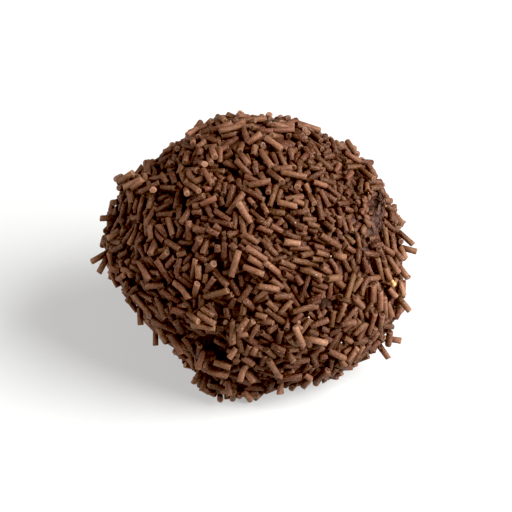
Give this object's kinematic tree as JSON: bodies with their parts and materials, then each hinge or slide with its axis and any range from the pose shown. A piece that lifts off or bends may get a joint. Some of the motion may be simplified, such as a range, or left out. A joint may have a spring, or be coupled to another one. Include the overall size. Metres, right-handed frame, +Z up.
{
  "type": "rum ball",
  "caption": "Large hand-rolled rum ball of dark cocoa paste, coated all over in chocolate sprinkles and slightly flattened where it rests.",
  "frame": {"origin": "centre of the bounding box's underside, on the surface that the ball rests on", "axes": "+Z up, -Y towards the front of the ball, +X towards its right-hand side"},
  "size_m": [0.0626, 0.0594, 0.0517],
  "materials": {
    "sprinkle_coat": "dull milk-brown compound chocolate, dry to the touch, edible"
  },
  "bodies": {
    "root": {"rum_ball": "sprinkle_coat"}
  },
  "joints": []
}
